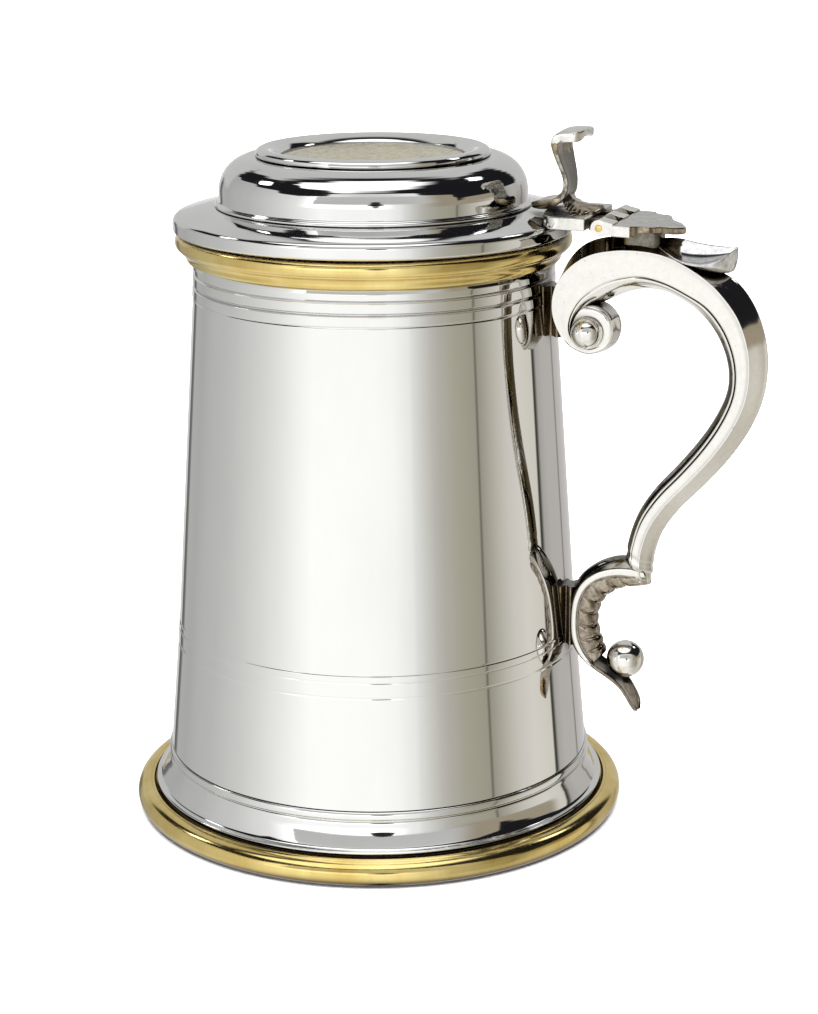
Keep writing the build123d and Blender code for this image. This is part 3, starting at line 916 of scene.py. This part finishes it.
# ---------------------------------------------------------------- thumb lever
LEVER = [
    # x, z, half thickness, half width
    (35.0, 132.6, 0.5, 2.4),
    (37.0, 132.9, 0.9, 3.4),
    (39.2, 133.2, 0.95, 4.2),
    (41.0, 134.0, 0.75, 4.6),
    (42.25, 135.4, 0.6, 4.1),
    (42.6, 137.2, 0.52, 3.75),
    (42.4, 138.9, 0.5, 4.0),
    (41.9, 140.6, 0.5, 4.6),
    (41.35, 142.4, 0.52, 5.2),
    (40.85, 144.2, 0.62, 5.5),
    (40.75, 145.8, 0.85, 5.55),
    (41.6, 147.0, 1.0, 5.5),
    (43.2, 147.45, 1.02, 5.6),
    (46.1, 147.45, 1.02, 5.6),
]
FLAT_SIDE = [-0.93, -0.85, -0.6, -0.3, 0.0, 0.3, 0.6, 0.85, 0.93]
ROUND_SIDE = [(0.92, 0.985), (0.75, 1.0), (0.0, 1.0), (-0.75, 1.0), (-0.92, 0.985)]
LEVER_SECTION = (
    [(1.0, v) for v in FLAT_SIDE] + ROUND_SIDE
    + [(-1.0, -v) for v in FLAT_SIDE] + [(-u, -v) for u, v in ROUND_SIDE]
)
FOOT_SHADE_Z = 134.4  # the foot of the strip is painted in shade up to here
NECK_SHADE_Z = 143.4  # and the part under the thumb plate from here
PLATE_Z = 145.7  # height where the bright thumb plate starts


def lever_shade(polygon):
    """The parts of the strip in painted shade: right under the thumb plate and at its foot."""
    ragged = 0.8 * noise.noise(polygon.center * 700.0) * MM
    height = polygon.center.z + ragged
    return NECK_SHADE_Z * MM < height < (PLATE_Z + 0.2) * MM or height < FOOT_SHADE_Z * MM


def lever():
    """The S-shaped strip, its front face a little hollow, turned over at the top into a thumb plate."""
    rows = 120
    verts = []
    for k in range(rows + 1):
        s = k / rows
        (x, z, thick, width), along_x, along_z = strip_point(LEVER, s)
        width *= 1 - 0.22 * smoothstep(0.94, 1.0, s) ** 2 - 0.2 * smoothstep(0.03, 0.0, s)
        thick *= 1 - 0.25 * smoothstep(0.985, 1.0, s)
        for u, v in LEVER_SECTION:
            hollow = 0.3 * max(0.0, 1 - (v / 0.8) ** 4) if u < -0.95 else 0.0
            lift = (u + hollow) * thick
            crown = 0.02 * (width * v) ** 2 * smoothstep(0.78, 0.9, s)
            verts.append((x - along_z * lift, width * v, z + along_x * lift - crown))
    faces = tube_faces(rows, len(LEVER_SECTION))
    make_piece(
        "thumb_lever", verts, faces, LEVER_CAST, "lid", ("thumbpiece",),
        others=[(SHADE_CAST, lever_shade), (CAST, lambda p: p.center.z > PLATE_Z * MM)],
    )


lever()

FOOT_LEAF = [
    # x, z, half width
    (41.9, 135.2, 4.0),
    (43.0, 133.6, 5.4),
    (44.6, 132.75, 6.3),
    (47.0, 132.35, 5.6),
    (49.4, 132.3, 2.4),
]
LEAF_LOBES = 5


def foot_leaf_point(s, t, side):
    x, z, width = catmull(FOOT_LEAF, s)
    width *= 1 - 0.1 * math.cos(s * LEAF_LOBES * math.tau)
    lift = 0.45 * side * math.sqrt(max(0.0, 1 - t * t)) + 0.25 * math.exp(-((t / 0.2) ** 2)) * max(side, 0)
    return x, width * t, z + lift - 0.7 * t * t


sheet("lever_leaf", foot_leaf_point, 36, 20, SHADE_CAST, "lid")

# nodes that stay as CAD made them; the hinge bracket gets painted deep shade
for node, material, smooth in (
    ("hinge_bracket", DEEP_SHADE_CAST, False), ("base_plate", INSIDE, True), ("locating_ring", INSIDE, True),
):
    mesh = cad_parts[node].data
    mesh.materials.clear()
    mesh.materials.append(material)
    if smooth:
        mesh.shade_smooth()

# ---------------------------------------------------------------- camera
azimuth = math.radians(VIEW_AZIMUTH)
camera_way = Vector((math.sin(azimuth), -math.cos(azimuth), 0.0))
camera_right = Vector((math.cos(azimuth), math.sin(azimuth), 0.0))
camera = bpy.data.objects.new("camera", bpy.data.cameras.new("camera"))
bpy.context.scene.collection.objects.link(camera)
bpy.context.scene.camera = camera
camera.data.sensor_width = SENSOR_WIDTH
camera.data.lens = VIEW_LENS
camera.data.clip_start = CLIP_NEAR
camera.data.clip_end = CLIP_FAR
camera.location = camera_way * VIEW_DISTANCE * MM + Vector((0, 0, VIEW_HEIGHT * MM))
yaw, pitch, roll = math.radians(VIEW_YAW), math.radians(VIEW_PITCH), math.radians(VIEW_ROLL)
forward = -camera_way * math.cos(yaw) * math.cos(pitch) + camera_right * math.sin(yaw) * math.cos(pitch)
forward.z = -math.sin(pitch)
level_right = forward.cross(Vector((0, 0, 1))).normalized()
level_up = level_right.cross(forward)
right = level_right * math.cos(roll) + level_up * math.sin(roll)
up = right.cross(forward)
camera.rotation_mode = "QUATERNION"
turn = camera.matrix_world.to_3x3()
turn.col[0], turn.col[1], turn.col[2] = right, up, -forward
camera.rotation_quaternion = turn.to_quaternion()

# ---------------------------------------------------------------- floor and light
FLOOR_HALF = 6.0  # metres
SUN_STRENGTH = 7.0
SUN_SPREAD = 70  # degrees
floor_mesh = bpy.data.meshes.new("floor")
floor_mesh.from_pydata(
    [(FLOOR_HALF * x, FLOOR_HALF * y, 0) for x, y in ((-1, -1), (1, -1), (1, 1), (-1, 1))], [], [(0, 1, 2, 3)]
)
floor = bpy.data.objects.new("floor", floor_mesh)
bpy.context.scene.collection.objects.link(floor)
floor_material, floor_shader = new_material("floor_white")
floor_shader.inputs["Metallic"].default_value = 0.0
floor_shader.inputs["Base Color"].default_value = (0.93, 0.93, 0.93, 1)
floor_shader.inputs["Roughness"].default_value = 0.9
floor_shader.inputs["Specular IOR Level"].default_value = 0.0
floor_mesh.materials.append(floor_material)
floor.visible_glossy = False

lamp = bpy.data.lights.new("overhead", "SUN")
lamp.energy = SUN_STRENGTH
lamp.angle = math.radians(SUN_SPREAD)
overhead = bpy.data.objects.new("overhead", lamp)
overhead.visible_glossy = False
bpy.context.scene.collection.objects.link(overhead)


def studio_world():
    """The studio by direction: a white panel in front with a grey upper part, lower panels left and right,
    black gaps above them, a box overhead, two small lamps, a small black spot and a pale wall behind. The
    camera sees white."""
    world = bpy.data.worlds.new("studio")
    world.use_nodes = True
    bpy.context.scene.world = world
    world.node_tree.nodes.clear()
    out = add(world, "ShaderNodeOutputWorld")
    coord = add(world, "ShaderNodeTexCoord")

    def along(way):
        node = add(world, "ShaderNodeVectorMath", operation="DOT_PRODUCT")
        link(world, coord.outputs["Generated"], node.inputs[0])
        node.inputs[1].default_value = way
        return node.outputs["Value"]

    def calc(operation, *values):
        node = add(world, "ShaderNodeMath", operation=operation)
        for socket, value in zip(node.inputs, values):
            if isinstance(value, (int, float)):
                socket.default_value = value
            else:
                link(world, value, socket)
        return node.outputs["Value"]

    def step(value, low, high):
        """1 where value is above high, 0 below low; the other way round when low is above high."""
        node = add(world, "ShaderNodeMapRange", interpolation_type="SMOOTHSTEP")
        link(world, value, node.inputs["Value"])
        node.inputs["From Min"].default_value = min(low, high)
        node.inputs["From Max"].default_value = max(low, high)
        if low > high:
            node.inputs["To Min"].default_value = 1.0
            node.inputs["To Max"].default_value = 0.0
        return node.outputs["Result"]

    def both(*masks):
        result = masks[0]
        for mask in masks[1:]:
            result = calc("MULTIPLY", result, mask)
        return result

    def blend(factor, a, b):
        node = add(world, "ShaderNodeMix", data_type="RGBA")
        link(world, factor, node.inputs["Factor"])
        for socket, value in ((node.inputs[6], a), (node.inputs[7], b)):
            if isinstance(value, tuple):
                socket.default_value = (*value, 1.0)
            else:
                link(world, value, socket)
        return node.outputs[2]

    x, y, z = along(camera_right), along(camera_way), along((0.0, 0.0, 1.0))
    around = calc("MULTIPLY_ADD", calc("ARCTAN2", x, y), 1 / math.tau, 0.5)

    def at(degrees):
        return degrees / 360 + 0.5

    # tones by direction: degrees to the right of the way to the camera, brightness, and its part of blue
    left = [
        (-180, 0.9), (-172, 0.75), (-158, 0.62), (-156.5, 0.1), (-150.5, 0.2), (-148.5, 0.45), (-134, 0.44),
        (-120, 0.5), (-106, 0.54), (-95, 0.59), (-82, 0.68), (-70, 0.78), (-58, 0.91), (-46, 1.06),
        (-38, 1.14), (0, 1.11), (10, 1.07), (15, 1.0), (19, 0.94),
    ]
    right = [
        (24, 0.79, 0.97), (29, 0.66, 0.93), (34, 0.56, 0.9), (39, 0.49, 0.86), (49, 0.42, 0.77),
        (62.2, 0.365, 0.77), (62.7, 0.16, 0.75), (63.7, 0.16, 0.75), (64.3, 0.35, 0.78), (70, 0.44, 0.82),
        (77, 0.56, 0.84),
        (84, 0.66, 0.88), (95, 0.74, 0.88), (111.5, 0.68, 0.85), (112.5, 0.06, 0.8), (114.5, 0.06, 0.8),
        (116, 0.42, 0.9), (124, 0.5, 0.92), (140.3, 0.5, 0.92), (141, 0.2, 0.9), (142, 0.2, 0.9),
        (142.8, 0.5, 0.92), (160, 0.6, 0.95), (180, 0.9, 0.98),
    ]
    left_tone = ramp(world, around, [(at(a), (v, v, 0.985 * v)) for a, v in left])
    right_tone = ramp(
        world, around, [(at(a), (v, 0.96 * v if a > 30 else v, blue * v)) for a, v, blue in right]
    )
    panels = blend(step(around, at(19), at(24)), left_tone, right_tone)

    # the lit table below, beige towards the right; the strong light on the front panel above the horizon
    table = blend(step(x, 0.05, 0.75), (0.95, 0.94, 0.92), (0.6, 0.57, 0.5))
    panels = blend(step(z, -0.35, -0.8), panels, table)
    glare = both(step(z, -0.02, 0.1), step(around, at(-60), at(-40)), step(around, at(17), at(4)))
    panels = blend(glare, panels, (1.6, 1.6, 1.58))

    # grey upper half of the front panel, a paler strip along its top
    front_rise = calc("DIVIDE", z, calc("MAXIMUM", y, 0.02))
    upper = both(step(front_rise, 0.31, 0.335), step(around, at(-46), at(-45)), step(y, 0.2, 0.4))
    tone = ramp(
        world, front_rise,
        [
            (0.3, (0.55, 0.55, 0.54)), (0.8, (0.59, 0.59, 0.57)), (0.88, (0.7, 0.7, 0.68)),
            (0.96, (0.95, 0.95, 0.93)),
        ],
    )
    panels = blend(upper, panels, tone)

    warm = both(step(z, 0.0, 0.08), step(around, at(36), at(54)), step(around, at(108), at(98)))
    panels = blend(warm, panels, (0.36, 0.31, 0.23))
    side = calc("ABSOLUTE", x)
    side_rise = calc("DIVIDE", z, calc("MAXIMUM", side, 0.02))
    rear_rise = calc("DIVIDE", z, calc("MAXIMUM", calc("MULTIPLY", y, -1.0), 0.02))
    in_front = both(step(front_rise, 1.05, 1.02), step(y, 0.02, 0.04), step(around, at(66), at(64)))
    in_left = both(step(side_rise, 0.59, 0.57), step(x, -0.02, -0.04))
    in_right = both(step(side_rise, 0.28, 0.25), step(x, 0.02, 0.04))
    in_rear = both(step(rear_rise, 0.8, 0.6), step(y, -0.7, -0.76))
    panels = blend(both(in_rear, step(z, 0.0, 0.1)), panels, (0.57, 0.57, 0.56))
    lit = calc("MAXIMUM", calc("MAXIMUM", in_front, in_left), calc("MAXIMUM", in_right, in_rear))

    # box overhead: bright in front of the zenith, a dark bar, then a grey part behind
    high = calc("MAXIMUM", z, 0.02)
    across = calc("DIVIDE", x, high)
    ahead = calc("DIVIDE", y, high)
    reach = calc("SQRT", calc("ADD", calc("MULTIPLY", across, across), calc("MULTIPLY", ahead, ahead)))
    box = both(
        step(across, -0.8, -0.76), step(across, 0.58, 0.34), step(calc("ADD", across, ahead), 1.05, 0.68),
        step(ahead, 0.78, 0.7), step(ahead, -0.09, -0.01), step(reach, 0.86, 0.82), step(z, 0.1, 0.2),
    )
    back_box = both(
        step(across, -0.86, -0.76), step(across, 0.66, 0.56), step(ahead, -0.2, -0.5), step(z, 0.2, 0.3),
    )
    sky = blend(back_box, (0.012, 0.012, 0.014), (0.58, 0.58, 0.57))
    sky = blend(box, sky, (1.5, 1.5, 1.5))
    sky = blend(lit, sky, panels)

    def spot(azimuth_degrees, elevation_degrees, inner, outer):
        a, e = math.radians(azimuth_degrees), math.radians(elevation_degrees)
        flat = camera_right * math.sin(a) * math.cos(e) + camera_way * math.cos(a) * math.cos(e)
        near = along(flat + Vector((0, 0, math.sin(e))))
        return step(near, math.cos(math.radians(outer)), math.cos(math.radians(inner)))

    sky = blend(spot(-110, 38, 3.5, 6.0), sky, (5.0, 5.0, 5.0))
    sky = blend(spot(118, 45, 3.0, 6.0), sky, (4.0, 4.1, 4.3))
    sky = blend(spot(1.5, 13.7, 5.9, 6.6), sky, (0.02, 0.02, 0.02))
    path = add(world, "ShaderNodeLightPath")
    seen = blend(path.outputs["Is Camera Ray"], sky, (1.0, 1.0, 1.0))
    background = add(world, "ShaderNodeBackground")
    link(world, seen, background.inputs["Color"])
    link(world, background.outputs["Background"], out.inputs["Surface"])


studio_world()
bpy.context.scene.view_settings.view_transform = "Standard"
bpy.context.scene.view_settings.look = "None"
